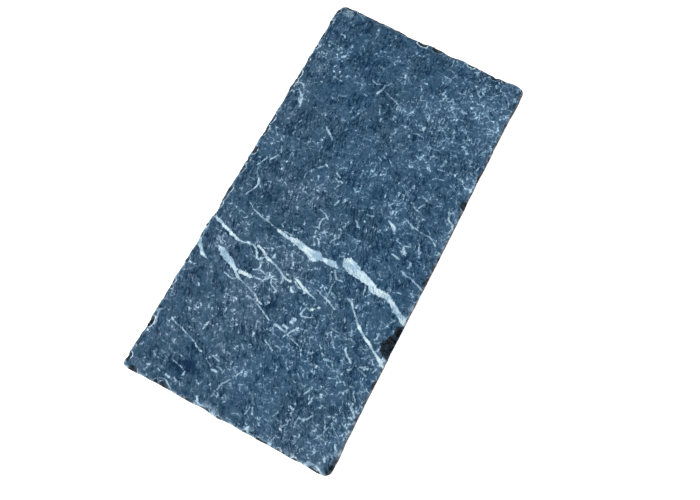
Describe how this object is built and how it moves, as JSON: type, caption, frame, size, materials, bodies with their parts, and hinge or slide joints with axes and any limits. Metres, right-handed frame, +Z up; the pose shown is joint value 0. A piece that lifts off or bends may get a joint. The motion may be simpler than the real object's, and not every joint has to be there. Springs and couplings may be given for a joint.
{
  "type": "stone paver",
  "caption": "Rectangular tumbled bluestone paving slab, riven and veined on top, flat underneath, with worn and chipped edges and rounded corners.",
  "frame": {"origin": "on the flat bedding face, under the middle of the slab", "axes": "+Z up through the thickness, +Y along the slab's length, +X across its width; the big spall is on the +X edge"},
  "size_m": [0.3, 0.6, 0.03],
  "materials": {
    "bluestone": "matt riven dark blue limestone with pale calcite veins, worn and chipped at its edges"
  },
  "bodies": {
    "root": {"paver": "bluestone"}
  },
  "joints": []
}
